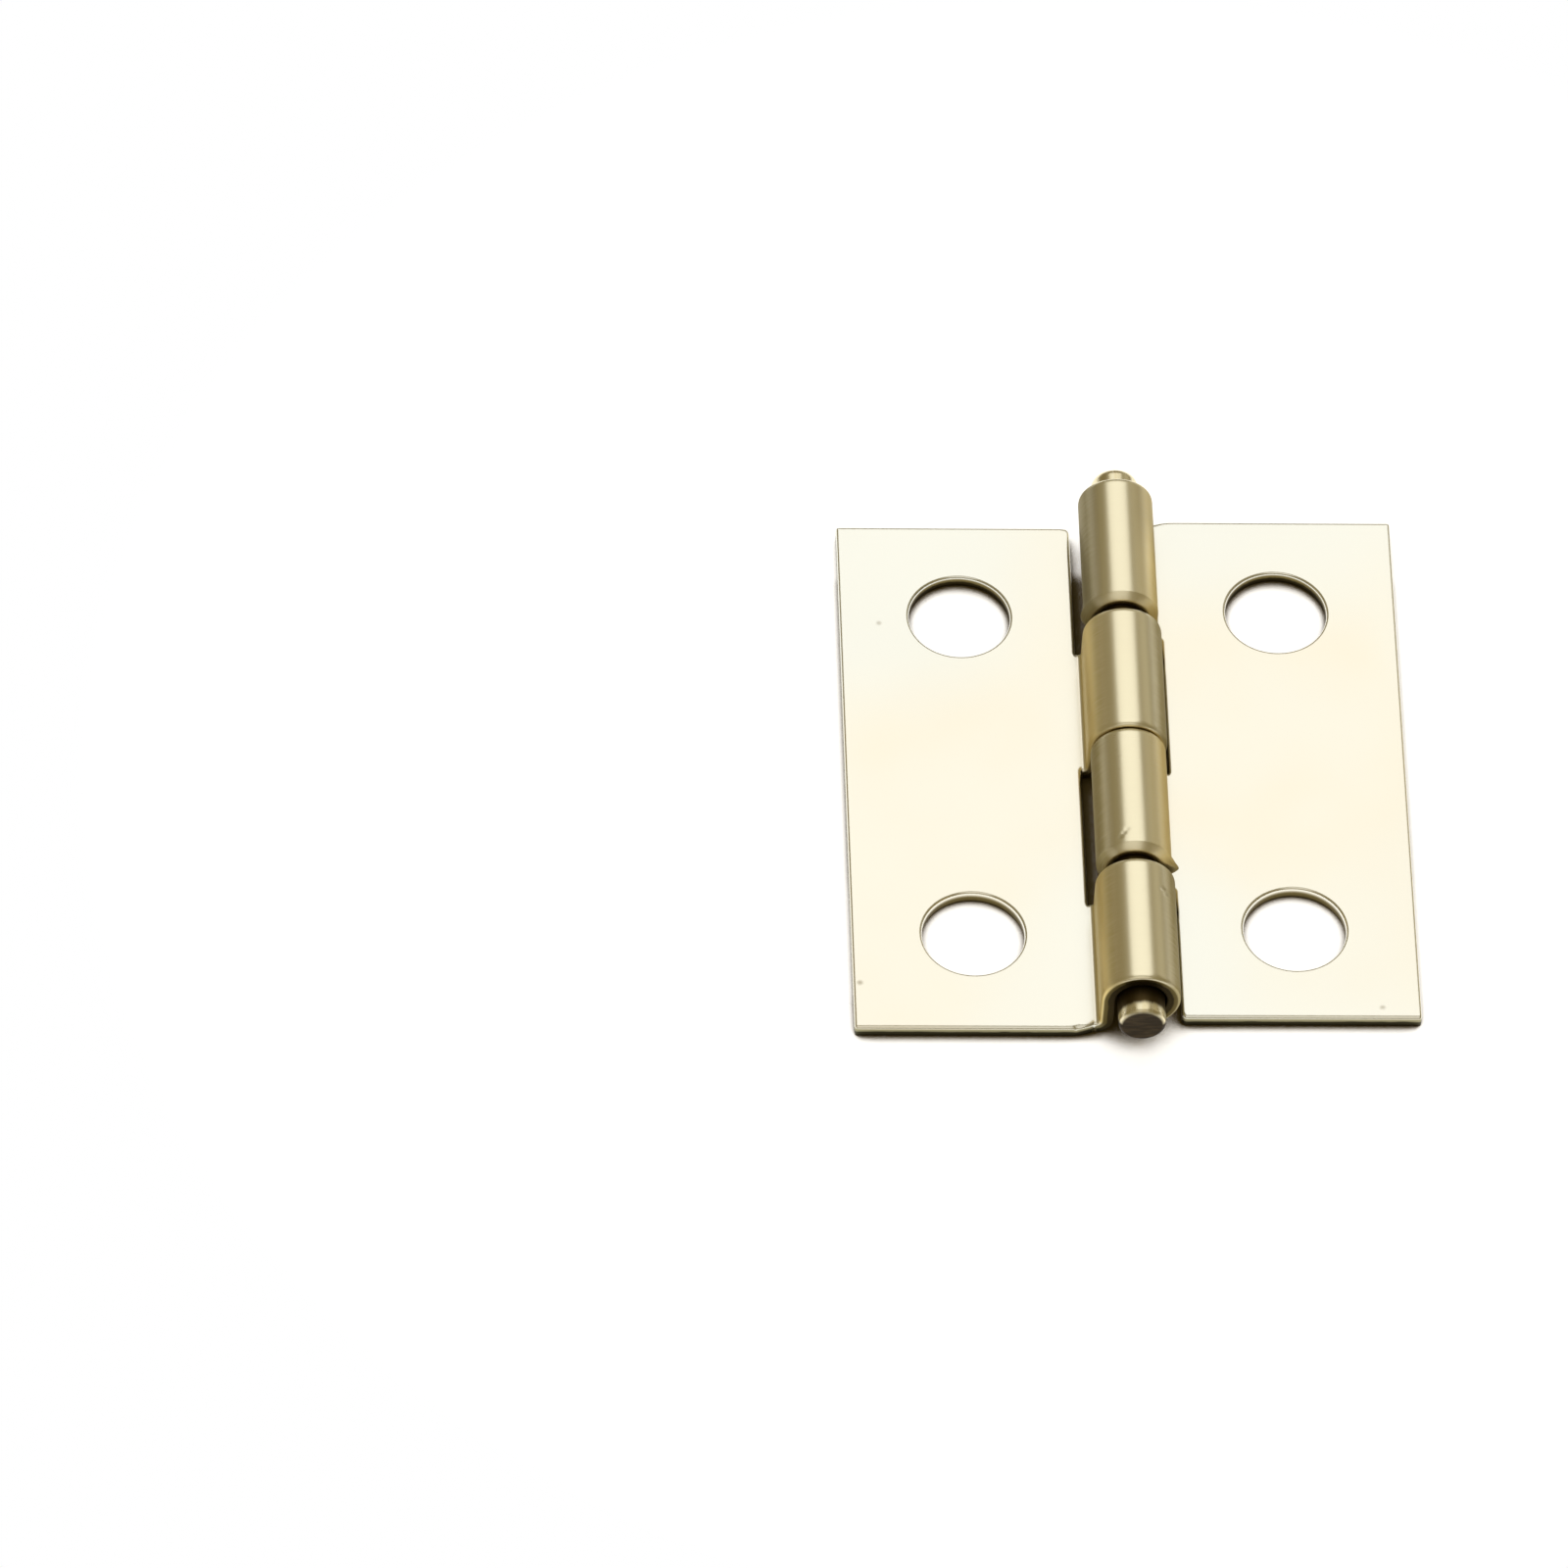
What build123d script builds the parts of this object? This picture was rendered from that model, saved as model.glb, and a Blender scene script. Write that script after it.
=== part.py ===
"""A small cabinet butt hinge, laid open on its back: two stamped and rolled leaves on one wire pin.

Millimetres. X runs across the leaves, Y along the pin and Z up. The origin lies on the plane of the
leaves' backs, under the middle of the pin.

Both leaves have one form, the right one turned half round about Z and cut a little shorter. A leaf's sheet
runs flat to the barrel, turns up in a tight bend and rolls over the pin and down its far side. The right
leaf's knuckles are rolled tight on the pin and carry it. The left leaf's are rolled wider, and swing on it.
"""

import os

from build123d import *

# Sheet and leaves
sheet = 0.4  # thickness
open_width = 16.0  # from outer edge to outer edge, laid open
leaf_length = 18.0  # of the right leaf, along the pin
left_extra = 0.15  # by which the left leaf is cut longer, at the end beside the other leaf's outer knuckle
corner_radius = 0.15  # of the leaf's outer corners, in plan
free_corner = 0.25  # radius of the corner beside the barrel, at the leaf's notched end
edge_break = 0.08  # bevel where the punch has rolled the upper edges over

# Screw holes
hole_diameter = 2.9
hole_pitch = 11.5
hole_reach = 4.55  # from the pin's axis to the holes

# Pin
pin_diameter = 1.34
pin_stand_out = 0.95  # of each end, past the barrel
pin_chamfer = 0.14  # at the near end, which is cut square
pin_round = 0.3  # at the far end, which is rounded over
running_clearance = 0.06  # radial, between the pin and the knuckles that swing on it

# Knuckles
knuckles_per_leaf = 2
knuckle_gap = 0.25  # between neighbouring knuckles, with the play shared out
leaf_push = 0.1  # of each leaf along that play: the left one to -Y, the right one to +Y
barrel_shortfall = 0.1  # by which the barrel is shorter than a leaf
barrel_lift = 0.27  # of the wider knuckles, off the plane of the leaves' backs
bend_radius = 0.1  # inside the bend from the leaf to the barrel
roll_past_side = 72.0  # degrees that the sheet rolls on, below the barrel's far side
notch_corner = 0.1  # radius inside the notches
end_trim = 0.15  # by which the outer knuckle stands back from its end of the leaf
end_trim_run = 0.5  # of the slope from there out to the leaf's full length
end_trim_blend = 0.3  # radius at both ends of that slope

# What follows from those sizes
pin_radius = pin_diameter / 2
swing_bore_radius = pin_radius + running_clearance
axis_height = swing_bore_radius + sheet + barrel_lift
barrel_length = leaf_length - barrel_shortfall
pin_length = barrel_length + 2 * pin_stand_out
knuckle_pitch = (barrel_length + knuckle_gap) / (2 * knuckles_per_leaf)
knuckle_length = knuckle_pitch - knuckle_gap

same_place = 1e-5  # distance within which two places count as one


def corners_at(plan: BuildSketch, reach: float) -> ShapeList[Vertex]:
    """The corners of a plan on one line along the pin, in order along it."""
    on_line = plan.vertices().filter_by_position(Axis.X, reach - same_place, reach + same_place)
    return on_line.sort_by(Axis.Y)


def rolled_to(faces: ShapeList[Face], radius: float) -> ShapeList[Face]:
    """The cylindrical faces of one radius whose axes run along the pin."""
    rounds = faces.filter_by(GeomType.CYLINDER)
    along_pin = rounds.filter_by(lambda face: face.axis_of_rotation.is_parallel(Axis.Y))
    return along_pin.filter_by(lambda face: abs(face.radius - radius) < same_place)


def outer_edges(skin: ShapeList[Face]) -> ShapeList[Edge]:
    """The edges around a skin of faces, without those where two of its faces meet."""
    edges = skin.edges()
    return edges.filter_by(lambda edge: sum(edge.is_same(other) for other in edges) == 1)


def rolled_leaf(seat: Plane, bore_radius: float, length: float) -> BuildPart:
    """One leaf: seen from its seat, the flat lies to -X and the outer knuckle is at the -Y end."""
    barrel_radius = bore_radius + sheet
    bend_start = barrel_radius + bend_radius
    notch_edge = bend_start + notch_corner
    leaf_edge = open_width / 2
    past_barrel = barrel_radius + sheet
    barrel_start = -barrel_length / 2
    leaf_start = barrel_start - end_trim
    knuckle_starts = [barrel_start + 2 * knuckle_pitch * turn for turn in range(knuckles_per_leaf)]

    with BuildPart() as leaf:
        # Rolled section: back of the flat, bend, wall and bore, thickened to the upper side
        with BuildSketch(Plane(seat.origin, x_dir=seat.x_dir, z_dir=-seat.y_dir)):
            with BuildLine():
                back = Line((-leaf_edge, 0), (-bend_start, 0))
                bend = TangentArc(back @ 1, (-bore_radius, bend_radius + sheet), tangent=back % 1)
                Line(bend @ 1, (-bore_radius, axis_height))
                CenterArc((0, axis_height), bore_radius, 180, -(180 + roll_past_side))
                offset(amount=sheet, side=Side.LEFT)
            make_face()
        extrude(amount=length, both=True)

        # Plan: the flat and its knuckles, with the notches where the other leaf's knuckles turn
        with BuildSketch(seat) as plan:
            with Locations((-leaf_edge, leaf_start)):
                Rectangle(leaf_edge - notch_edge, length, align=Align.MIN)
            with Locations([(-notch_edge, start) for start in knuckle_starts]):
                Rectangle(notch_edge + past_barrel, knuckle_length, align=Align.MIN)
            with BuildLine():
                Polyline(
                    (-notch_edge - end_trim_run, leaf_start),
                    (-notch_edge, barrel_start),
                    (-notch_edge, leaf_start),
                    close=True,
                )
            make_face(mode=Mode.SUBTRACT)
            fillet(plan.vertices().group_by(Axis.X)[0], corner_radius)
            fillet(corners_at(plan, -notch_edge)[-1], free_corner)
            fillet(corners_at(plan, -notch_edge)[1 : 2 * knuckles_per_leaf], notch_corner)
            slope = corners_at(plan, -notch_edge)[:1] + corners_at(plan, -notch_edge - end_trim_run)
            fillet(slope, end_trim_blend)
            with Locations((-hole_reach, 0)):
                with GridLocations(0, hole_pitch, 1, 2):
                    Circle(hole_diameter / 2, mode=Mode.SUBTRACT)
        extrude(amount=axis_height + past_barrel, mode=Mode.INTERSECT)

        # The upper side of the sheet, with every cut edge broken
        faces = leaf.faces()
        flats = faces.filter_by(Axis.Z).group_by(Axis.Z)[-1]
        walls = faces.filter_by(Axis.X).filter_by(
            lambda face: abs(abs(face.center().X) - barrel_radius) < same_place
        )
        skin = flats + walls + rolled_to(faces, bend_radius) + rolled_to(faces, barrel_radius)
        chamfer(outer_edges(skin), edge_break)
    return leaf


left_seat = Plane((0, -leaf_push, 0), x_dir=(1, 0, 0))
right_seat = Plane((0, leaf_push, 0), x_dir=(-1, 0, 0))
left_leaf = rolled_leaf(left_seat, swing_bore_radius, leaf_length + left_extra)
right_leaf = rolled_leaf(right_seat, pin_radius, leaf_length)

# The wire lies along the barrel's axis, its square end towards -Y
with BuildPart() as hinge_pin:
    with BuildSketch(Plane((0, 0, axis_height), x_dir=(1, 0, 0), z_dir=(0, 1, 0))):
        Circle(pin_radius)
    extrude(amount=pin_length / 2, both=True)
    rims = hinge_pin.edges().filter_by(GeomType.CIRCLE).sort_by(Axis.Y)
    chamfer(rims[0], pin_chamfer)
    fillet(rims[-1], pin_round)

os.makedirs("parts", exist_ok=True)
for label, piece in {"left_leaf": left_leaf, "right_leaf": right_leaf, "hinge_pin": hinge_pin}.items():
    piece.part.label = label
    export_step(piece.part, f"parts/{label}.step")
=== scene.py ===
import bpy
import numpy as np
from mathutils import Matrix, Vector


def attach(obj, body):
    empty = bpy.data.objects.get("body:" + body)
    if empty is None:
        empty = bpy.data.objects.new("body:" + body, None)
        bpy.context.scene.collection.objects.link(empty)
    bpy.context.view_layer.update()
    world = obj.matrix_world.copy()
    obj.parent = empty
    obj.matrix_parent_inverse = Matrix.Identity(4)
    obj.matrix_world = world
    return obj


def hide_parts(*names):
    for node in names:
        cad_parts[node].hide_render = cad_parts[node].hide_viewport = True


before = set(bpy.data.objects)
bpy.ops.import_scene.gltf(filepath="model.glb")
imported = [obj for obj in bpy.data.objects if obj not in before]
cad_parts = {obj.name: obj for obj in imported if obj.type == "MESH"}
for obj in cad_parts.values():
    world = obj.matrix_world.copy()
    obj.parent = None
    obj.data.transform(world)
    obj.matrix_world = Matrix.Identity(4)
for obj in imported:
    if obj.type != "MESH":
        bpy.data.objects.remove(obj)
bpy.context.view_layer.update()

mm = 0.001
scene = bpy.context.scene
scene.view_settings.view_transform = "Standard"
print("frame loaded")


# Shader maths: a Wire is one output socket, and arithmetic on wires and numbers adds Math nodes
class Wire:
    def __init__(self, bench, socket):
        self.bench, self.socket = bench, socket

    def maths(self, operation, first, second):
        return self.bench.node("ShaderNodeMath", {"operation": operation}, {0: first, 1: second})

    def __add__(self, other):
        return self.maths("ADD", self, other)

    def __sub__(self, other):
        return self.maths("SUBTRACT", self, other)

    def __rsub__(self, other):
        return self.maths("SUBTRACT", other, self)

    def __mul__(self, other):
        return self.maths("MULTIPLY", self, other)

    __radd__ = __add__
    __rmul__ = __mul__


# A Bench holds one node tree and adds nodes to it: type, settings first, then sockets
class Bench:
    def __init__(self, tree):
        self.tree = tree
        tree.nodes.clear()

    def node(self, kind, settings, sockets, out=0):
        made = self.tree.nodes.new(kind)
        for name, value in settings.items():
            setattr(made, name, value)
        for name, value in sockets.items():
            if isinstance(value, Wire):
                self.tree.links.new(value.socket, made.inputs[name])
            else:
                made.inputs[name].default_value = value
        return Wire(self, made.outputs[out]) if len(made.outputs) else made

    # a Mix node's colours are its sockets 6 and 7, and its output 2
    def blend(self, factor, first, second):
        colours = [c if isinstance(c, Wire) else (*c, 1.0) for c in (first, second)]
        settings = {"data_type": "RGBA", "clamp_factor": True}
        return self.node("ShaderNodeMix", settings, {0: factor, 6: colours[0], 7: colours[1]}, out=2)

    def ease(self, value, start, end):
        settings = {"interpolation_type": "SMOOTHSTEP"}
        return self.node("ShaderNodeMapRange", settings, {"Value": value, "From Min": start, "From Max": end})

    def attribute(self, name):
        return self.node("ShaderNodeAttribute", {"attribute_name": name}, {}, out="Fac")

    def noise(self, place, scale, detail=2.0, roughness=0.5):
        sockets = {"Vector": place, "Scale": scale, "Detail": detail, "Roughness": roughness}
        return self.node("ShaderNodeTexNoise", {}, sockets)

    def stretched(self, place, scale):
        return self.node("ShaderNodeMapping", {}, {"Vector": place, "Scale": scale})

    def metal(self, colour, rough, height, finish):
        relief = {"Strength": finish["bump"], "Distance": finish["bumpDepth"], "Height": height}
        bump = self.node("ShaderNodeBump", {}, relief)
        sockets = {"Base Color": colour, "Metallic": 1.0, "Roughness": rough, "Normal": bump}
        shader = self.node("ShaderNodeBsdfPrincipled", {}, sockets)
        self.node("ShaderNodeOutputMaterial", {}, {"Surface": shader})


def newMaterial(name):
    material = bpy.data.materials.new(name)
    material.use_nodes = True
    return material, Bench(material.node_tree)


def scaled(colour, factor):
    return tuple(factor * c for c in colour)


noiseMiddle = 0.5  # a noise texture's mean

# Brass plate over rolled sheet: pale on the flats, deeper round the barrel, tan in the punched holes and
# olive to brown on the sheared edges. The flats are painted paler than the barrel, as a painted highlight.
# The barrel's sides and the bore carry painted shade, the sheared edges and holes are torn metal darkened
# further by painted shade, and the ends in the knuckle gaps are painted light. A scale is per metre, and a
# range is where a pattern fades in.
plate = {
    "flat": (0.935, 0.916, 0.825), "warm": (0.950, 0.905, 0.785), "cool": (0.915, 0.930, 0.885),
    "barrel": (0.930, 0.875, 0.665), "barrelShade": 0.94,
    # painted shade on the barrel's sides, and in the flank colour a golden band of painted light on the
    # beaten rims
    "flank": (0.850, 0.665, 0.240), "curl": (0.360, 0.290, 0.100),
    "burnish": (0.310, 0.288, 0.172), "fracture": (0.062, 0.057, 0.028),
    "endBurnish": (0.130, 0.100, 0.034), "endFracture": (0.050, 0.036, 0.012),
    "gapLitBurnish": (0.780, 0.660, 0.370), "gapLitFracture": (0.300, 0.240, 0.100),
    "punched": (0.200, 0.160, 0.060), "tornAndShadedHole": (0.050, 0.038, 0.012),
    "bore": (0.110, 0.080, 0.034), "speck": (0.300, 0.250, 0.150), "dirtAndShade": (0.110, 0.090, 0.040),
    "cloudScale": 170.0, "cloudRange": (0.40, 0.72),
    "tintScale": 95.0, "tintStretch": (1.0, 0.6, 1.0), "tintRange": (0.48, 0.72),
    "farCoolLight": 0.2, "farCoolLightRange": (0.0, 0.009),
    "grainScale": 9000.0, "lineStretch": (1.4, 26.0, 1.0), "fine": {"detail": 3.0, "roughness": 0.6},
    "grainTint": 0.2, "lineTint": 0.5, "streakMean": 0.75, "streakSwing": 0.6,
    "spotScale": 620.0, "spotRange": (0.05, 0.11), "patchScale": 330.0, "patchRange": (0.66, 0.70),
    "speckShare": 0.8,
    "tearSwing": 0.35, "tearRange": (0.55, 0.85), "cutRange": (0.05, 0.34), "roughCutRange": (0.2, 0.9),
    "roughness": 0.235, "barrelRoughness": 0.285, "flankRoughness": 0.520, "edgeRoughness": 0.42,
    "cloudRoughness": 0.07, "lineRoughness": 0.05, "speckRoughness": 0.2,
    "barrelGrain": 0.1, "cutGrain": 2.0, "barrelLines": 0.25, "flatLines": 0.02,
    "bump": 0.05, "bumpDepth": 0.00004,
}


def plateMaterial():
    material, bench = newMaterial("brassPlate")
    place = bench.node("ShaderNodeTexCoord", {}, {}, out="Object")
    along = bench.node("ShaderNodeSeparateXYZ", {}, {"Vector": place}, out="Y")
    sheetPlace = bench.node("ShaderNodeUVMap", {"uv_map": "blank"}, {})
    names = ("cut", "hole", "rolled", "flank", "curl", "facing", "hidden", "dirtAndShade")
    cut, hole, rolled, flank, curl, facing, hidden, dirtAndShade = (bench.attribute(name) for name in names)

    clouds = bench.noise(place, plate["cloudScale"])
    tints = bench.noise(bench.stretched(place, plate["tintStretch"]), plate["tintScale"], detail=1.0)
    grain = bench.noise(place, plate["grainScale"], **plate["fine"])
    lines = bench.noise(bench.stretched(sheetPlace, plate["lineStretch"]), 1.0, **plate["fine"])
    wander = lines - noiseMiddle
    dots = {"Vector": place, "Scale": plate["spotScale"]}
    spots = bench.node("ShaderNodeTexVoronoi", {"feature": "F1"}, dots)
    patches = bench.noise(place, plate["patchScale"], detail=0.0)
    speck = (1 - bench.ease(spots, *plate["spotRange"])) * bench.ease(patches, *plate["patchRange"])

    # the flats are cloudy, and painted cooler towards the far end, standing in for the cooler light there
    flats = bench.blend(bench.ease(clouds, *plate["cloudRange"]), plate["flat"], plate["warm"])
    coolTintAndFarLight = tints + bench.ease(along, *plate["farCoolLightRange"]) * plate["farCoolLight"]
    flats = bench.blend(bench.ease(coolTintAndFarLight, *plate["tintRange"]), flats, plate["cool"])

    # the barrel is streaked along the roll
    shade = lines * plate["lineTint"] + grain * plate["grainTint"]
    deeper = bench.blend(shade, plate["barrel"], scaled(plate["barrel"], plate["barrelShade"]))
    streaks = plate["streakMean"] + wander * plate["streakSwing"]
    # painted shade: the barrel's sides are darker in the flank and curl colours; the flank colour also paints
    # light on the beaten rims
    deeper = bench.blend(flank * streaks, deeper, plate["flank"])
    deeper = bench.blend(curl * streaks, deeper, plate["curl"])
    # painted highlight: the flats are paler than the barrel's brass
    body = bench.blend(rolled, flats, deeper)
    body = bench.blend(speck * plate["speckShare"], body, plate["speck"])

    # a cut is burnished above and torn below: on the leaf's edges, the knuckles' ends and gaps, and the
    # holes.
    # Both bands are also painted darker than the bare metal, as painted shade, except at the ends in the
    # knuckle gaps.
    tearing = bench.ease(cut + wander * plate["tearSwing"], *plate["tearRange"])
    sheared = bench.blend(tearing, plate["burnish"], plate["fracture"])
    # painted light: the cut ends in the knuckle gaps are much paler than the near end's ring
    endUpper = bench.blend(facing, plate["endBurnish"], plate["gapLitBurnish"])
    endLower = bench.blend(facing, plate["endFracture"], plate["gapLitFracture"])
    sheared = bench.blend(rolled, sheared, bench.blend(tearing, endUpper, endLower))
    # holes: the punched wall is tan above and near black below, partly torn metal and partly a painted shadow
    # at its foot
    sheared = bench.blend(hole, sheared, bench.blend(tearing, plate["punched"], plate["tornAndShadedHole"]))
    edged = bench.blend(bench.ease(cut, *plate["cutRange"]), body, sheared)
    # the marks' real dirt, and painted shade on the right leaf's barrel sides
    edged = bench.blend(dirtAndShade, edged, plate["dirtAndShade"])
    # painted shade: the inside of the roll is dark brown
    colour = bench.blend(hidden, edged, plate["bore"])

    rough = plate["roughness"] + (plate["barrelRoughness"] - plate["roughness"]) * rolled
    rough = rough + (plate["flankRoughness"] - plate["barrelRoughness"]) * (flank + curl)
    rough = rough + (clouds - noiseMiddle) * plate["cloudRoughness"]
    rough = rough + wander * rolled * plate["lineRoughness"] + speck * plate["speckRoughness"]
    edgeRougher = plate["edgeRoughness"] - plate["roughness"]
    rough = rough + bench.ease(cut, *plate["roughCutRange"]) * edgeRougher
    height = grain * (plate["barrelGrain"] * rolled + cut * plate["cutGrain"])
    height = height + lines * (rolled * plate["barrelLines"] + plate["flatLines"])
    bench.metal(colour, rough, height, plate)
    return material


# Drawn wire: lines along its length, browner on the sawn end and, as painted shade, round its underside near
# that end, with a painted shadow where the knuckles cover it
wire = {
    "skin": (0.780, 0.700, 0.470), "pale": (0.860, 0.800, 0.590), "knuckleShadow": (0.075, 0.052, 0.020),
    "sawn": (0.026, 0.018, 0.009), "sawnPaler": 2.2,
    "drawnStretch": (9000.0, 260.0, 9000.0), "drawnRange": (0.35, 0.7),
    "sawStretch": (1500.0, 1.0, 9000.0), "sawDetail": 3.0, "sawRange": (0.4, 0.75),
    "knuckleShadowSwing": 0.3, "knuckleShadowRange": (0.25, 0.75), "cutRange": (0.3, 0.8),
    "roughness": 0.26, "drawnRoughness": 0.08, "cutRoughness": 0.22, "knuckleShadowRoughness": 0.2,
    "drawnLines": 0.5, "sawLines": 1.5, "bump": 0.08, "bumpDepth": 0.00004,
}


def wireMaterial():
    material, bench = newMaterial("pinWire")
    place = bench.node("ShaderNodeTexCoord", {}, {}, out="Object")
    cut, knuckleShadow = bench.attribute("cut"), bench.attribute("knuckleShadow")
    drawn = bench.noise(bench.stretched(place, wire["drawnStretch"]), 1.0)
    saw = bench.noise(bench.stretched(place, wire["sawStretch"]), 1.0, wire["sawDetail"])
    wander = drawn - noiseMiddle

    skin = bench.blend(bench.ease(drawn, *wire["drawnRange"]), wire["skin"], wire["pale"])
    # painted shadow on the shank where the knuckles cover it
    underKnuckles = bench.ease(knuckleShadow + wander * wire["knuckleShadowSwing"], *wire["knuckleShadowRange"])
    skin = bench.blend(underKnuckles, skin, wire["knuckleShadow"])
    paler = scaled(wire["sawn"], wire["sawnPaler"])
    sawn = bench.blend(bench.ease(saw, *wire["sawRange"]), wire["sawn"], paler)
    colour = bench.blend(bench.ease(cut, *wire["cutRange"]), skin, sawn)

    rough = wire["roughness"] + wander * wire["drawnRoughness"]
    rough = rough + cut * wire["cutRoughness"] + knuckleShadow * wire["knuckleShadowRoughness"]
    height = drawn * (1 - cut) * wire["drawnLines"] + saw * cut * wire["sawLines"]
    bench.metal(colour, rough, height, wire)
    return material


# Quads of a grid of points numbered row by row, from one row to the next and on along the columns
def gridQuads(rows, columns, closed):
    steps = np.arange(columns if closed else columns - 1)
    row, column = np.meshgrid(np.arange(rows - 1), steps, indexing="ij")
    after = (column + 1) % columns
    here, below = row * columns, (row + 1) * columns
    corners = (here + column, below + column, below + after, here + after)
    return np.stack(corners, axis=-1).reshape(-1, 4)


# Rises from 0 at the start to 1 a run further on
def fade(value, start, run):
    return np.clip((value - start) / run, 0, 1)


def makePiece(name, points, faces, values, body, material):
    mesh = bpy.data.meshes.new(name)
    mesh.from_pydata((points * mm).tolist(), [], faces)
    for label, value in values.items():
        mesh.attributes.new(label, "FLOAT", "POINT").data.foreach_set("value", value.astype(np.float32))
    mesh.polygons.foreach_set("use_smooth", np.ones(len(mesh.polygons), dtype=bool))
    mesh.materials.append(material)
    mesh.validate()
    mesh.update()
    piece = bpy.data.objects.new(name, mesh)
    scene.collection.objects.link(piece)
    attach(piece, body)
    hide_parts(name.split(".")[0])
    triangles = sum(len(polygon.vertices) - 2 for polygon in mesh.polygons)
    print(name, len(mesh.vertices), "points", triangles, "triangles")
    return piece


# One stamping serves both leaves. It is laid out flat first: s runs from the outer edge to the curl's tip,
# y along the pin and n up through the sheet, all in millimetres.
stamping = {
    "sheet": 0.4, "halfWidth": 8.0, "length": 18.0, "outerCorner": 0.15, "freeCorner": 0.25,
    "hole": 1.45, "holeReach": 4.55, "holePitch": 11.5,
    "axisHeight": 1.4, "bend": 0.1, "rollPast": 72.0, "notchCorner": 0.04, "leastCorner": 0.01,
    "barrel": 17.9, "knuckle": 4.2875, "pitch": 4.5375, "push": 0.1,
    "standOut": 0.15, "trimRun": 0.5, "trimSoft": 0.05,
}

# How many points the stamping has along each run of its edge, and rows round the roll
counts = {
    "bend": 12, "wall": 9, "roll": 84, "flare": 9, "knuckle": 76,
    "outerHalf": 90, "outerCorner": 9, "freeCorner": 11, "nearEnd": 80, "farEnd": 64,
    "notch": 44, "stub": 4, "split": 50,
}

# Shares of the way across a knuckle and from a hole to the edge, with lines close to both sides, which hold
# their shading
knuckleShares = np.concatenate(([0.0, 0.004], np.linspace(0.016, 0.984, counts["knuckle"]), [0.996, 1.0]))
ringShares = np.concatenate(([0.0, 0.006], np.linspace(0.03, 0.975, 15), [0.995, 1.0]))

# Sheared edge from the upper skin to the back: inset, height in the sheet, and how much it is cut metal
edgeProfile = np.array([
    (0.180, 1.000, 0.00), (0.174, 1.000, 0.00), (0.130, 0.992, 0.00), (0.092, 0.972, 0.00),
    (0.060, 0.940, 0.02), (0.034, 0.895, 0.06), (0.015, 0.835, 0.12), (0.004, 0.770, 0.22),
    (0.000, 0.700, 0.34), (0.000, 0.620, 0.45), (0.000, 0.520, 0.55), (0.004, 0.460, 0.75),
    (0.010, 0.360, 0.95), (0.014, 0.240, 1.00), (0.012, 0.110, 1.00), (0.018, 0.045, 0.90),
    (0.034, 0.010, 0.60), (0.050, 0.000, 0.20), (0.054, 0.000, 0.10),
])


# Where the flat ends, and the lengths of the bend and the wall after it
def sheetRuns(bore):
    form = stamping
    flatEnd = form["halfWidth"] - bore - form["sheet"] - form["bend"]
    bendLength = np.pi / 2 * (form["bend"] + form["sheet"] / 2)
    wall = form["axisHeight"] - form["bend"] - form["sheet"]
    return flatEnd, bendLength, wall


# Rolled sheet: the flat, a quarter bend about its upper side, a straight wall and the roll about the pin,
# end to end along s, each added to the last
def rolledSheet(s, n, bore):
    form = stamping
    flatEnd, bendLength, wall = sheetRuns(bore)
    bendRadius = form["bend"] + form["sheet"] - n
    bent = np.clip((s - flatEnd) / bendLength, 0, 1) * np.pi / 2
    climbed = np.clip(s - flatEnd - bendLength, 0, wall)
    turned = np.clip(s - flatEnd - bendLength - wall, 0, None) / (bore + form["sheet"] / 2)
    x = np.minimum(s, flatEnd) - form["halfWidth"] + bendRadius * np.sin(bent)
    x = x + (bore + n) * (1 - np.cos(turned))
    z = n + bendRadius * (1 - np.cos(bent)) + climbed + (bore + n) * np.sin(turned)
    return x, z


def arcPoints(centreS, centreY, radius, start, end, count):
    angle = np.radians(np.linspace(start, end, count))
    return np.stack((centreS + radius * np.cos(angle), centreY + radius * np.sin(angle)), axis=-1)


def linePoints(start, end, count):
    return np.linspace(np.asarray(start, dtype=float), np.asarray(end, dtype=float), count)


# Runs of points end to end, each without its last one, which starts the next
def joined(runs):
    return np.concatenate([run[:-1] for run in runs])


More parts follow.
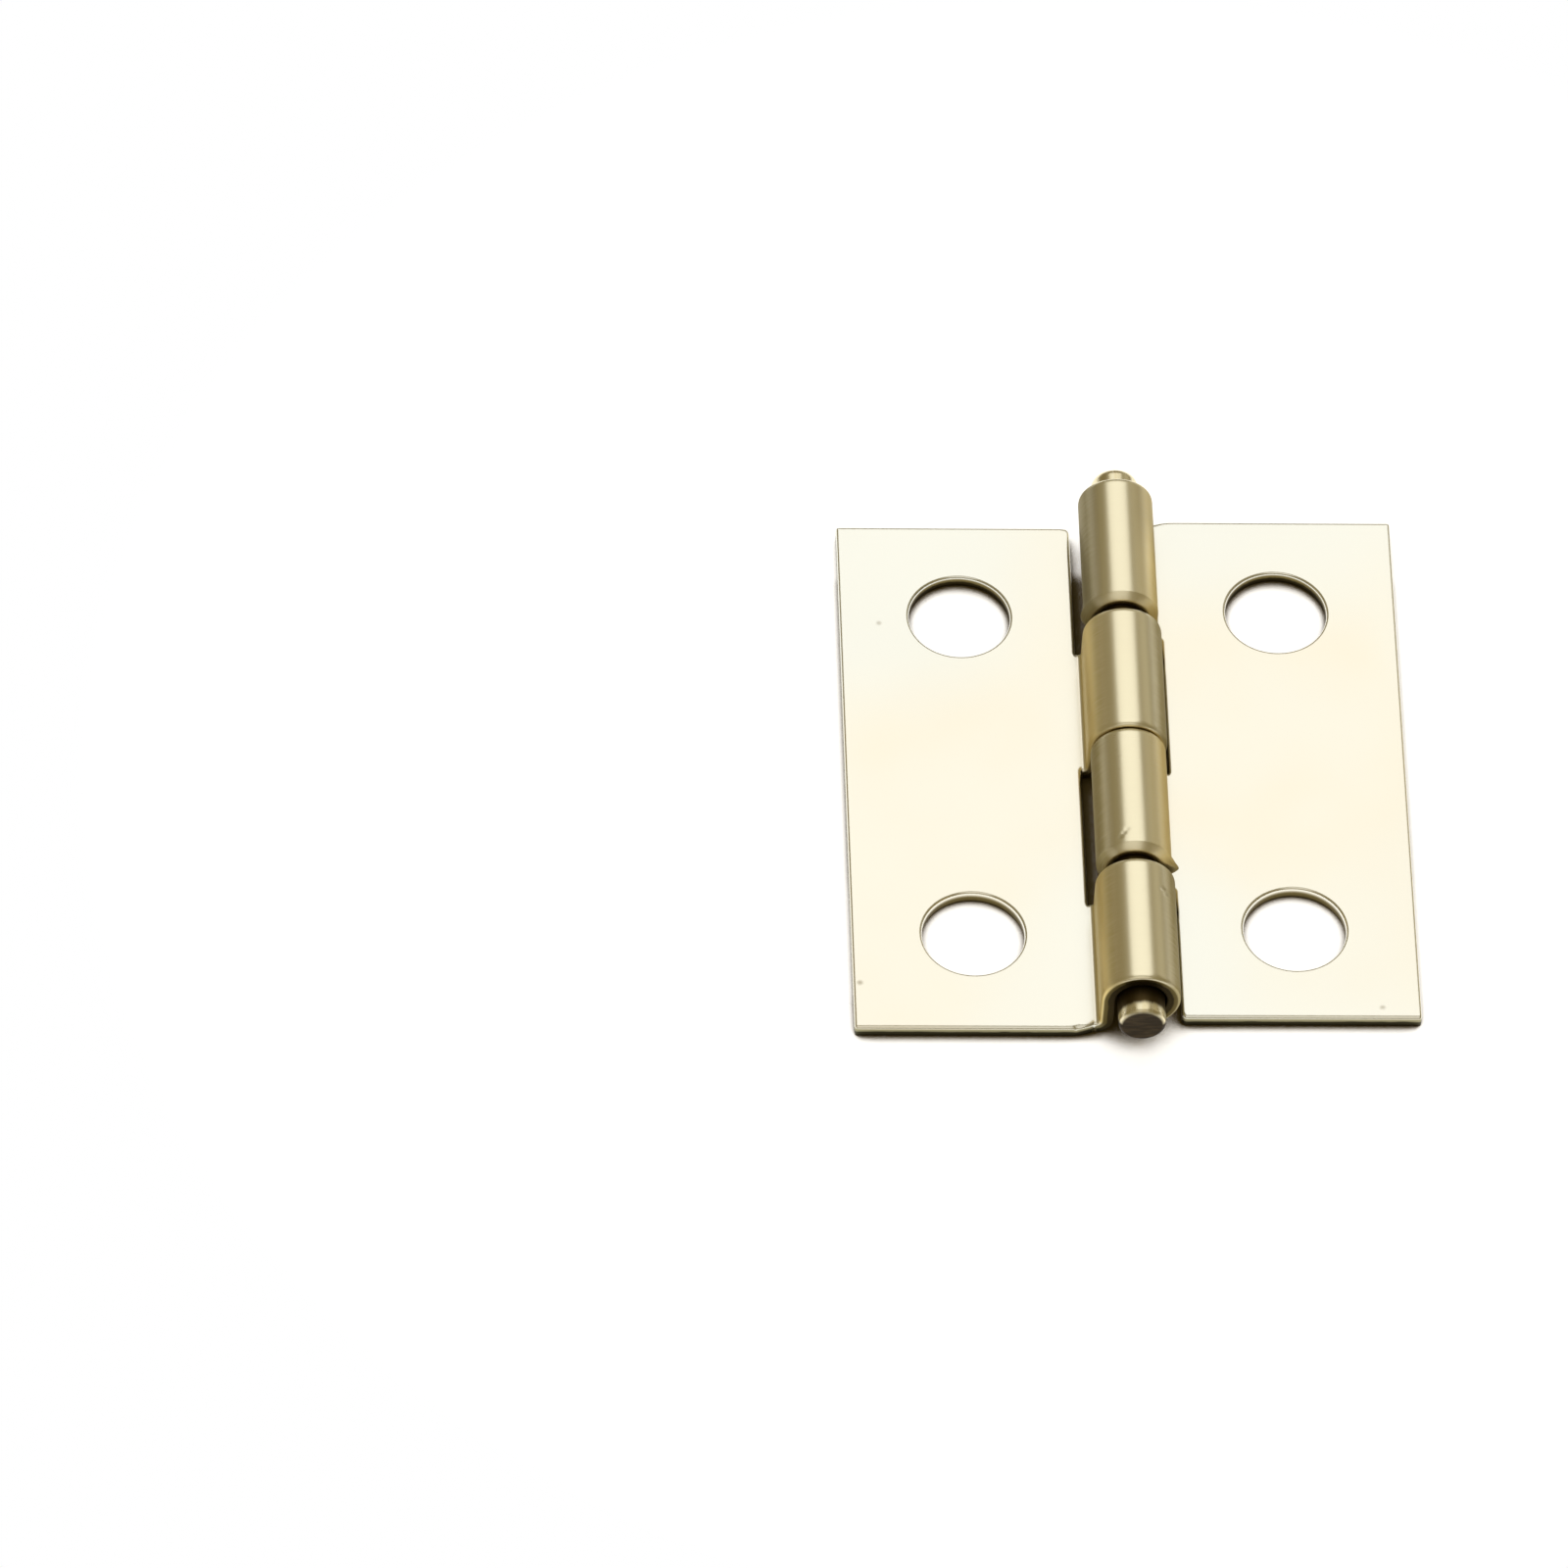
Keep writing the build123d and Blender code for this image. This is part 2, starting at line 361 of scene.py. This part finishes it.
# The stamping's edges for any inset d: the same number of points whatever the inset, so that the rows of the
# sheared edge and both skins share them
class Blank:
    def __init__(self, bore, trim, extra):
        form = stamping
        self.bore, self.trim = bore, trim
        self.flatEnd, bendLength, wall = sheetRuns(bore)
        rollLength = np.radians(180 + form["rollPast"]) * (bore + form["sheet"] / 2)
        self.rollStart = self.flatEnd + bendLength + wall
        self.tip = self.rollStart + rollLength
        self.notch = self.flatEnd - form["notchCorner"]
        self.low = -form["barrel"] / 2 - form["standOut"]
        self.high = self.low + form["length"] + extra
        self.split = (self.low + self.high) / 2
        starts = [2 * form["pitch"] * k - form["barrel"] / 2 for k in (0, 1)]
        self.knuckles = [(start, start + form["knuckle"]) for start in starts]
        steps = (
            np.linspace(0, bendLength, counts["bend"])[:-1],
            bendLength + np.linspace(0, wall, counts["wall"])[:-1],
            bendLength + wall + np.linspace(0, rollLength, counts["roll"]),
        )
        self.steps = np.concatenate(steps) / (bendLength + wall + rollLength)
        self.flare = np.radians(np.linspace(0, 90, counts["flare"]))[:-1]

    # the end edge slopes in beside the outer knuckle: the difference of two soft corners
    def endEdge(self, s, d):
        form = stamping
        soft = lambda x: 0.5 * (x + np.sqrt(x * x + form["trimSoft"] ** 2))
        slope = soft(s - self.notch + form["trimRun"]) - soft(s - self.notch)
        return self.low + self.trim / form["trimRun"] * slope + d

    # rows of a knuckle's strip, as points from side to side: a quarter circle flares out to each notch
    def strip(self, index, d):
        corner = stamping["notchCorner"]
        low, high = self.knuckles[index]
        flareRows = self.flatEnd - (corner + d) * np.cos(self.flare)
        rollRows = self.flatEnd + (self.tip - d - self.flatEnd) * self.steps
        s = np.concatenate((flareRows, rollRows))
        flare = np.concatenate((corner - (corner + d) * np.sin(self.flare), np.full(len(self.steps), -d)))
        lowSide = self.endEdge(s, d) if index == 0 else low - flare
        y = lowSide[:, None] + (high + flare - lowSide)[:, None] * knuckleShares
        return np.stack((np.broadcast_to(s[:, None], y.shape), y), axis=-1)

    # how far a convex corner of radius r reaches along its sides, once it is inset by d
    def reach(self, r, d):
        return d + max(r - d, stamping["leastCorner"])

    def outerEdge(self, d):
        r = self.reach(stamping["outerCorner"], d)
        below = linePoints((d, self.low + r), (d, self.split), counts["outerHalf"])
        above = linePoints((d, self.split), (d, self.high - r), counts["outerHalf"])
        return below, above

    def corners(self, d):
        r, f = self.reach(stamping["outerCorner"], d), self.reach(stamping["freeCorner"], d)
        lowCorner = arcPoints(r, self.low + r, r - d, 270, 180, counts["outerCorner"])
        highCorner = arcPoints(r, self.high - r, r - d, 180, 90, counts["outerCorner"])
        freeCorner = arcPoints(self.notch - f, self.high - f, f - d, 90, 0, counts["freeCorner"])
        return lowCorner, highCorner, freeCorner

    def endEdges(self, d):
        r, f = self.reach(stamping["outerCorner"], d), self.reach(stamping["freeCorner"], d)
        s = np.linspace(self.notch - d, r, counts["nearEnd"])
        nearEnd = np.stack((s, self.endEdge(s, d)), axis=-1)
        nearEnd[-1, 1] = self.low + d
        farEnd = linePoints((r, self.high - d), (self.notch - f, self.high - d), counts["farEnd"])
        return nearEnd, farEnd

    def notches(self, d):
        corner, f = stamping["notchCorner"], self.reach(stamping["freeCorner"], d)
        (_, firstHigh), (secondLow, secondHigh) = self.knuckles
        s = self.notch - d
        farNotch = linePoints((s, self.high - f), (s, secondHigh + corner), counts["notch"])
        upper = linePoints((s, secondLow - corner), (s, self.split), counts["stub"])
        lower = linePoints((s, self.split), (s, firstHigh + corner), counts["notch"])
        return farNotch, upper, lower

    # once round the whole stamping, with the holes left out
    def outline(self, d):
        below, above = self.outerEdge(d)
        lowCorner, highCorner, freeCorner = self.corners(d)
        nearEnd, farEnd = self.endEdges(d)
        farNotch, upper, lower = self.notches(d)
        first, second = self.strip(0, d), self.strip(1, d)
        runs = [below, above, highCorner, farEnd, freeCorner, farNotch]
        runs += [second[:, -1], second[-1, ::-1], second[::-1, 0], upper, lower]
        runs += [first[:, -1], first[-1, ::-1], first[::-1, 0], nearEnd, lowCorner]
        return joined(runs)

    # once round each half of the flat, the other way about
    def halves(self, d):
        below, above = self.outerEdge(d)
        lowCorner, highCorner, freeCorner = self.corners(d)
        nearEnd, farEnd = self.endEdges(d)
        farNotch, upper, lower = self.notches(d)
        first, second = self.strip(0, d), self.strip(1, d)
        splitLine = linePoints((d, self.split), (self.notch - d, self.split), counts["split"])
        lowRuns = [below[::-1], lowCorner[::-1], nearEnd[::-1], first[0], lower[::-1], splitLine[::-1]]
        highRuns = [splitLine, upper[::-1], second[0], farNotch[::-1], freeCorner[::-1], farEnd[::-1]]
        highRuns += [highCorner[::-1], above[::-1]]
        return joined(lowRuns), joined(highRuns)


# What the press does to the cut edges, in millimetres and shares. Points closer than a merge step are one.
edging = {
    "wander": 0.016, "holeWander": 0.012, "tornCut": 0.6, "tornFloor": 0.1, "holeRoll": 0.55,
    "notchClean": 0.65, "notchReach": 0.06, "nearHoleLessShade": 0.45,
    "squeeze": 0.6, "squeezeRun": 0.5, "farFade": 0.3,
    "mergeSteps": 1e5, "mergeShift": 0.37,
}


# A flat leaf: upper and back skins, each two ring grids from hole to edge and two knuckle strips, joined by
# the sheared profile carried once round the outline and once round each hole
def flatLeaf(blank, rng):
    form = stamping
    grids, quads, cuts, holed = [], [], [], []

    def addGrid(flat, height, cut, closed, turned, hole=0.0):
        rows, columns = flat.shape[:2]
        points = np.concatenate((flat, np.broadcast_to(height, (rows, columns))[..., None]), axis=-1)
        corners = gridQuads(rows, columns, closed) + sum(len(g) for g in grids)
        grids.append(points.reshape(-1, 3))
        quads.append(corners[:, ::-1] if turned else corners)
        cuts.append(np.broadcast_to(cut, (rows, columns)).reshape(-1))
        holed.append(np.full(rows * columns, hole))

    inset, height, cutness = edgeProfile[:, 0], edgeProfile[:, 1] * form["sheet"], edgeProfile[:, 2]
    torn = (cutness > edging["tornCut"]) & (height > edging["tornFloor"])

    # the torn lower half of a sheared edge wanders up and down a little along the cut
    def addEdge(rows, wander, hole):
        jitter = rng.standard_normal(rows.shape[:2])
        jitter = np.clip((jitter + np.roll(jitter, 1, axis=1) + np.roll(jitter, 2, axis=1)) / 3, -1, 1)
        addGrid(rows, height[:, None] + wander * jitter * torn[:, None], cutness[:, None], True, True, hole)

    addEdge(np.stack([blank.outline(d) for d in inset]), edging["wander"], 0.0)
    upperHalves, backHalves = blank.halves(inset[0]), blank.halves(inset[-1])
    for side, upper, back in zip((-1, 1), upperHalves, backHalves):
        centre = np.array((form["halfWidth"] - form["holeReach"], side * form["holePitch"] / 2))
        ray = upper - centre
        ray = ray / np.linalg.norm(ray, axis=-1, keepdims=True)
        rim = lambda d: centre + (form["hole"] + edging["holeRoll"] * d) * ray
        for half, d, level, turned in ((upper, inset[0], form["sheet"], False), (back, inset[-1], 0.0, True)):
            ring = rim(d) + ringShares[:, None, None] * (half - rim(d))
            addGrid(ring, level, 0.0, True, turned)
        addEdge(np.stack([rim(d) for d in inset]), edging["holeWander"], 1.0)
    for index in (0, 1):
        addGrid(blank.strip(index, inset[0]), form["sheet"], 0.0, False, False)
        addGrid(blank.strip(index, inset[-1]), 0.0, 0.0, False, True)

    points, faces, cut, hole = (np.concatenate(lists) for lists in (grids, quads, cuts, holed))
    keys = np.floor(points * edging["mergeSteps"] + edging["mergeShift"]).astype(np.int64)
    _, first, place = np.unique(keys, axis=0, return_index=True, return_inverse=True)
    return points[first], place.reshape(-1)[faces], cut[first], hole[first]


# How far a point at some depth inside an edge moves out to it: a share of its depth that fades over the run
def squeezed(depth):
    depth = np.clip(depth, 0, edging["squeezeRun"])
    return edging["squeeze"] * depth * (1 - depth / edging["squeezeRun"])


# Start and run of each zone: along the sheet past the flat, round the barrel in degrees from its top, and
# along the pin. Several zones carry painted shade or light. The shoulder's painted shade has a middle and a
# width.
zones = {
    "rolled": (-0.05, 0.45), "beatable": (0.0, 0.6), "hidden": (0.6, 0.4), "hiddenBack": 0.02,
    "flank": (18.0, 44.0), "curl": (30.0, 28.0), "shoulderShade": (-45.0, 13.0),
    "sideShadeCurl": (4.0, 1.0), "sideShadeFlank": (6.3, 1.6), "sideShadeFlankShare": 0.8, "nearRing": 2.0,
    "rimCurve": 1.1, "rimSlack": 0.1, "rimLitBand": 0.12, "rimSpread": (0.0, 0.06),
}


# A leaf: the flat one with its edges squeezed, marked, beaten at the rims and then rolled, with the share of
# each zone at every point, its painted shade and light among them
def leafSurface(blank, leaf, rng):
    points, faces, cut, hole = flatLeaf(blank, rng)
    s, y, n = points.T
    side = leaf["side"]
    share = n / stamping["sheet"]

    # the notches are cut cleaner, the near holes are given less of the torn colour and its painted shade, and
    # other edges are rolled over less than the near ends
    notched = np.exp(-(((s - blank.notch) / edging["notchReach"]) ** 2)) * (1 - hole)
    cut = cut * (1 - edging["notchClean"] * notched)
    cut = cut * (1 - edging["nearHoleLessShade"] * hole * (side * y < 0))
    s = s - squeezed(s)
    s = s + squeezed(blank.notch - s)
    farEnd = blank.high if side > 0 else blank.low
    y = y + side * squeezed(side * (farEnd - y)) * fade(blank.notch - s, 0, edging["farFade"])

    dirtAndShade = np.zeros(len(s))
    for markS, markY, sizeS, sizeY, lift, dirt in leaf["marks"]:
        mark = np.exp(-((s - markS) / sizeS) ** 2 - ((y - markY) / sizeY) ** 2)
        n = n + lift * share * mark
        dirtAndShade = np.maximum(dirtAndShade, dirt * mark)
    run, drop, spread = leaf["rimDrop"]
    rims = [fade(y, high - run, run) * (y < high + zones["rimSlack"]) for _, high in blank.knuckles]
    beaten = share * fade(s - blank.flatEnd, *zones["beatable"])
    beaten = beaten * sum(rim ** zones["rimCurve"] for rim in rims)
    n, y = n - drop * beaten, y + spread * beaten
    x, z = rolledSheet(s, n, blank.bore)

    rolled = fade(s - blank.flatEnd, *zones["rolled"])
    turned = np.clip(s - blank.rollStart, 0, None) / (blank.bore + stamping["sheet"] / 2)
    pastTop = np.degrees(turned) - 90
    # painted light: a golden band on the beaten rims, in the flank colour
    rimLitBand = zones["rimLitBand"] * fade(beaten * spread, *zones["rimSpread"])
    # painted shade on the barrel's sides: flank low on the wall side, curl past the top
    flank = np.maximum(rolled * fade(-pastTop, *zones["flank"]), rimLitBand)
    # painted shade along the left leaf's barrel shoulder, in the curl colour
    middle, width = zones["shoulderShade"]
    shoulderShade = leaf["shoulderShade"] * np.exp(-(((pastTop - middle) / width) ** 2))
    curl = rolled * (fade(pastTop, *zones["curl"]) + shoulderShade)
    # painted shade on the barrel's sides of one knuckle of the right leaf, kept with the marks' dirt
    sideShaded = np.clip(curl, 0, 1) * fade(-y, *zones["sideShadeCurl"])
    sideShaded = sideShaded + zones["sideShadeFlankShare"] * flank * fade(-y, *zones["sideShadeFlank"])
    values = {
        "cut": cut, "hole": hole, "rolled": rolled, "flank": flank, "curl": curl,
        "dirtAndShade": np.maximum(dirtAndShade, leaf["sideShade"] * sideShaded),
        "facing": (y > blank.low + zones["nearRing"]).astype(float),
        "hidden": fade(s - blank.flatEnd, *zones["hidden"]) * (share < zones["hiddenBack"]),
    }
    return np.stack((x, y, z), axis=-1), faces, values, np.stack((s, y), axis=-1)


# Wear is a soft bump or dent each: s, y, its two sizes, its lift and how dirty it is. The right leaf's near
# rims are beaten down over a run by a drop and spread. The left leaf's barrel has painted shade along its
# shoulder, and the right leaf's barrel has painted shade on the sides of one knuckle.
leaves = {
    "left_leaf": {
        "bore": 0.73, "trim": 0.15, "extra": 0.15, "side": 1, "body": "left_side", "seed": 3,
        "rimDrop": (0.1, 0.0, 0.0), "shoulderShade": 0.6, "sideShade": 0.0,
        "marks": [
            (10.23, -5.60, 0.07, 0.05, -0.030, 0.2), (10.33, -5.75, 0.06, 0.05, -0.026, 0.2),
            (6.26, -9.09, 0.07, 0.10, -0.070, 0.0),
        ],
    },
    "right_leaf": {
        "bore": 0.67, "trim": 0.06, "extra": 0.0, "side": -1, "body": "right_side", "seed": 8,
        "rimDrop": (0.18, 0.20, 0.05), "shoulderShade": 0.0, "sideShade": 0.55,
        "marks": [
            (9.84, 3.90, 0.06, 0.05, -0.020, 0.2), (9.75, 3.79, 0.05, 0.05, -0.018, 0.2),
            (9.93, 4.03, 0.05, 0.05, -0.015, 0.2), (8.20, 4.42, 0.24, 0.15, 0.440, 0.5),
            (11.05, -4.72, 0.40, 0.24, 0.110, 0.0),
        ],
    },
}
brassPlate = plateMaterial()
for leafName, leaf in leaves.items():
    blank = Blank(leaf["bore"], leaf["trim"], leaf["extra"])
    points, faces, values, flatPlace = leafSurface(blank, leaf, np.random.default_rng(leaf["seed"]))
    points = points * (leaf["side"], leaf["side"], 1) + (0, -leaf["side"] * stamping["push"], 0)
    pieceName, faces = leafName + ".sheet", faces.tolist()
    piece = makePiece(pieceName, points, faces, values, leaf["body"], brassPlate)
    corner = np.empty(len(piece.data.loops), dtype=np.int32)
    piece.data.loops.foreach_get("vertex_index", corner)
    layer = piece.data.uv_layers.new(name="blank")
    layer.data.foreach_set("uv", flatPlace[corner].astype(np.float32).ravel())


# Pin: a profile of radius and place along Y turned about the barrel's axis. The near end is slightly hollow
# with a rounded chamfer, and the far end is rounded over with the dimple that the cut left.
pinForm = {
    "radius": 0.67, "half": 9.90, "height": 1.4, "turns": 128,
    "chamfer": 0.14, "bevelTurn": (6, 84), "bevelRows": 7, "hollow": 0.012, "faceRows": 5, "faceMargin": 0.03,
    "round": 0.30, "roundRows": 14, "dimple": 0.10, "dimpleRadius": 0.15,
    "farRings": (0.33, 0.28, 0.22, 0.17, 0.12, 0.08, 0.04, 0.02), "innermost": 0.02,
    "shankRows": 60, "shankLead": (0.01, 0.04), "shankTail": (0.02, 0.004), "hold": 0.004,
    "nearShadowEnd": 9.62, "farShadowEnd": 9.20, "shadowEndRun": 0.14,
    "sawnBevel": 0.8, "underShade": (0.9, 2.0), "underShadeRun": (0.15, 0.1),
}


def pinSurface():
    form = pinForm
    radius, half, chamfer, rounding = (form[k] for k in ("radius", "half", "chamfer", "round"))
    face = radius - chamfer
    nearRadius = np.linspace(form["innermost"], face - form["faceMargin"], form["faceRows"])
    nearRadius = np.append(nearRadius, (face - form["hold"], face))
    nearPlace = -half + form["hollow"] * (1 - (nearRadius / radius) ** 2)
    turn = np.radians(np.linspace(*form["bevelTurn"], form["bevelRows"]))
    bevelRadius = radius - chamfer * (1 - np.sin(turn))
    bevelPlace = -half + chamfer * (1 - np.cos(turn))
    shankStart, shankEnd = -half + chamfer, half - rounding
    (lead, leadEnd), (tailStart, tail) = form["shankLead"], form["shankTail"]
    middle = np.linspace(shankStart + leadEnd, shankEnd - tailStart, form["shankRows"])
    shank = np.concatenate(([shankStart, shankStart + lead], middle, [shankEnd - tail]))
    turn = np.radians(np.linspace(0, 90, form["roundRows"]))
    domeRadius = radius - rounding * (1 - np.cos(turn))
    domePlace = half - rounding * (1 - np.sin(turn))
    farRadius = np.array(form["farRings"])
    farPlace = half - form["dimple"] * np.exp(-((farRadius / form["dimpleRadius"]) ** 2))
    rowRadius = np.concatenate((nearRadius, bevelRadius, np.full(len(shank), radius), domeRadius, farRadius))
    rowPlace = np.concatenate((nearPlace, bevelPlace, shank, domePlace, farPlace))

    # sawn metal covers the near face and fades over the bevel; its colour runs on a little under the end,
    # round the underside only, as painted shade
    cut = np.zeros(len(rowRadius))
    bevelStart, bevelEnd = len(nearRadius), len(nearRadius) + len(bevelRadius)
    cut[:bevelStart] = 1.0
    cut[bevelStart:bevelEnd] = np.linspace(form["sawnBevel"], 0.0, len(bevelRadius))
    angle = np.linspace(0, 2 * np.pi, form["turns"], endpoint=False)
    level, swing = form["underShade"]
    solid, underShadeRun = form["underShadeRun"]
    nearby = fade(-rowPlace, half - solid - underShadeRun, underShadeRun)
    cut = np.maximum(cut[:, None], nearby[:, None] * np.clip(level - swing * np.cos(angle), 0, 1))
    # painted shadow along the shank inside the knuckles and a little past their near end
    knuckleShadow = fade(rowPlace, -form["nearShadowEnd"], form["shadowEndRun"])
    knuckleShadow = knuckleShadow * fade(-rowPlace, -form["farShadowEnd"], form["shadowEndRun"])

    x = rowRadius[:, None] * np.sin(angle)
    z = form["height"] + rowRadius[:, None] * np.cos(angle)
    y = np.broadcast_to(rowPlace[:, None], x.shape)
    values = {"cut": cut.reshape(-1), "knuckleShadow": np.repeat(knuckleShadow, len(angle))}
    return np.stack((x, y, z), axis=-1), values


points, values = pinSurface()
rows, columns = points.shape[:2]
faces = gridQuads(rows, columns, True)[:, ::-1].tolist()
faces += [np.arange(columns)[::-1].tolist(), np.arange((rows - 1) * columns, rows * columns).tolist()]
makePiece("hinge_pin.wire", points.reshape(-1, 3), faces, values, "right_side", wireMaterial())


# White floor: its own shade under the lamps, topped up to white for the camera and for reflections, less so
# in the corners where the hinge stands between it and the panel behind. There the paper is painted dark brown
# and the top-up turns warm, as painted shadow found by two occlusion tests. The painted shadows are lighter
# in the near holes and the far slot.
floorLook = {
    "size": 4.0, "drop": 0.00002, "colour": (0.86, 0.86, 0.86), "mottle": 0.98, "mottleScale": 40.0,
    "topUp": 0.80, "deep": (0.115, 0.084, 0.028), "dusk": (0.45, 0.30, 0.15), "shaded": (0.024, 0.030),
    "samples": 12, "shadowReach": 0.0008, "shadowSide": (0.0, 0.50, 0.866), "shadowRange": (0.34, 0.60),
    "nearHolesStart": (-0.0080, -0.0074), "nearHolesEnd": (-0.0042, -0.0036), "nearHolesLift": 0.14,
    "slotReach": 0.004, "slotRange": (0.36, 0.62), "farSlot": (0.0071, 0.0077), "farSlotLift": 0.24,
}


def floorMaterial():
    material, bench = newMaterial("studioFloor")
    seen = bench.node("ShaderNodeLightPath", {}, {}, out="Is Camera Ray")
    rays = seen.socket.node.outputs
    mirrored, through = (Wire(bench, rays[name]) for name in ("Is Glossy Ray", "Is Transmission Ray"))
    white = seen + mirrored + through
    place = bench.node("ShaderNodeTexCoord", {}, {}, out="Object")
    along = bench.node("ShaderNodeSeparateXYZ", {}, {"Vector": place}, out="Y")

    towards = bench.node("ShaderNodeCombineXYZ", {}, dict(enumerate(floorLook["shadowSide"])))
    corner, fineness = "ShaderNodeAmbientOcclusion", {"samples": floorLook["samples"]}
    shadow = bench.node(corner, fineness, {"Distance": floorLook["shadowReach"], "Normal": towards}, out="AO")
    nearHoles = 1 - bench.ease(along, *floorLook["nearHolesEnd"])
    nearHoles = nearHoles * bench.ease(along, *floorLook["nearHolesStart"])
    shadow = bench.ease(shadow + nearHoles * floorLook["nearHolesLift"], *floorLook["shadowRange"])
    slots = bench.node(corner, fineness, {"Distance": floorLook["slotReach"]}, out="AO")
    farSlot = bench.ease(along, *floorLook["farSlot"])
    slots = bench.ease(slots + farSlot * floorLook["farSlotLift"], *floorLook["slotRange"])
    openness = shadow * slots

    mottled = scaled(floorLook["colour"], floorLook["mottle"])
    paper = bench.blend(bench.noise(place, floorLook["mottleScale"]), floorLook["colour"], mottled)
    # painted shadow: the paper turns dark brown where the occlusion tests find the hinge close
    paper = bench.blend(openness, floorLook["deep"], paper)
    matt = bench.node("ShaderNodeBsdfDiffuse", {}, {"Color": paper})
    warmth = bench.blend(openness, floorLook["dusk"], (1, 1, 1))
    strength = white * openness * floorLook["topUp"]
    glow = bench.node("ShaderNodeEmission", {}, {"Color": warmth, "Strength": strength})
    around = bench.node("ShaderNodeAddShader", {}, {0: matt, 1: glow})
    beyond = bench.node("ShaderNodeEmission", {}, {"Color": (1, 1, 1, 1), "Strength": white})
    distance = bench.node("ShaderNodeVectorMath", {"operation": "LENGTH"}, {0: place}, out="Value")
    outside = bench.ease(distance, *floorLook["shaded"])
    surface = bench.node("ShaderNodeMixShader", {}, {0: outside, 1: around, 2: beyond})
    bench.node("ShaderNodeOutputMaterial", {}, {"Surface": surface})
    return material


half = floorLook["size"] / 2
corners = [(-half, -half), (half, -half), (half, half), (-half, half)]
floorMesh = bpy.data.meshes.new("studioFloor")
floorMesh.from_pydata([(x, y, -floorLook["drop"]) for x, y in corners], [], [(0, 1, 2, 3)])
floorMesh.materials.append(floorMaterial())
floor = bpy.data.objects.new("studioFloor", floorMesh)
scene.collection.objects.link(floor)
print("floor laid")

# A tall soft panel behind and overhead, a weaker card low at the right, a fill over the camera, and a dim
# warm room. Each lamp faces the hinge.
lamps = {
    "panel": {
        "at": (0.015, 0.340, 0.720), "size": (0.72, 0.90), "radiance": 0.875, "colour": (0.98, 0.99, 1.0),
    },
    "card": {
        "at": (0.70, 0.55, 0.37), "size": (0.80, 0.34), "radiance": 0.24, "colour": (1.0, 0.96, 0.82),
    },
    "fill": {
        "at": (-0.04, -0.50, 0.55), "size": (0.60, 0.75), "radiance": 0.50, "colour": (1.0, 0.99, 0.97),
    },
}
room = {"colour": (0.250, 0.206, 0.112), "backdrop": (1.0, 1.0, 1.0)}

for lampName, lamp in lamps.items():
    light = bpy.data.lights.new(lampName, "AREA")
    light.shape = "RECTANGLE"
    light.size, light.size_y = lamp["size"]
    light.energy = lamp["radiance"] * np.pi * lamp["size"][0] * lamp["size"][1]
    light.color = lamp["colour"]
    holder = bpy.data.objects.new(lampName, light)
    place = Vector(lamp["at"])
    holder.matrix_world = Matrix.Translation(place) @ place.to_track_quat("Z", "Y").to_matrix().to_4x4()
    scene.collection.objects.link(holder)

world = bpy.data.worlds.new("room")
world.use_nodes = True
scene.world = world
bench = Bench(world.node_tree)
seen = bench.node("ShaderNodeLightPath", {}, {}, out="Is Camera Ray")
shade = bench.blend(seen, room["colour"], room["backdrop"])
dome = bench.node("ShaderNodeBackground", {}, {"Color": shade, "Strength": 1.0})
bench.node("ShaderNodeOutputWorld", {}, {"Surface": dome})
print("lamps set")

# Camera: looks down on the hinge from the front, a little from the left, and slightly rolled
shot = {
    "azimuth": -4.52, "elevation": 51.50, "roll": 3.77, "distance": 0.43908,
    "aim": (0.0, 0.000175, 0.0004), "across": -0.009718, "up": -0.000496,
    "lens": 354.4, "sensor": 36.0, "clipStart": 0.01,
}
azimuth, elevation, roll = (np.radians(shot[k]) for k in ("azimuth", "elevation", "roll"))
outward = np.array((np.sin(azimuth), -np.cos(azimuth), 0.0))
back = np.cos(elevation) * outward + np.sin(elevation) * np.array((0.0, 0.0, 1.0))
level = np.array((np.cos(azimuth), np.sin(azimuth), 0.0))
upright = np.cross(back, level)
right = np.cos(roll) * level + np.sin(roll) * upright
top = np.cos(roll) * upright - np.sin(roll) * level
eye = np.array(shot["aim"]) + shot["across"] * right + shot["up"] * top + shot["distance"] * back
cameraData = bpy.data.cameras.new("shot")
cameraData.lens = shot["lens"]
cameraData.sensor_width = shot["sensor"]
cameraData.clip_start = shot["clipStart"]
camera = bpy.data.objects.new("shot", cameraData)
turned = np.eye(4)
turned[:3] = np.stack((right, top, back, eye), axis=-1)
camera.matrix_world = Matrix(turned.tolist())
scene.collection.objects.link(camera)
scene.camera = camera
print("camera set")
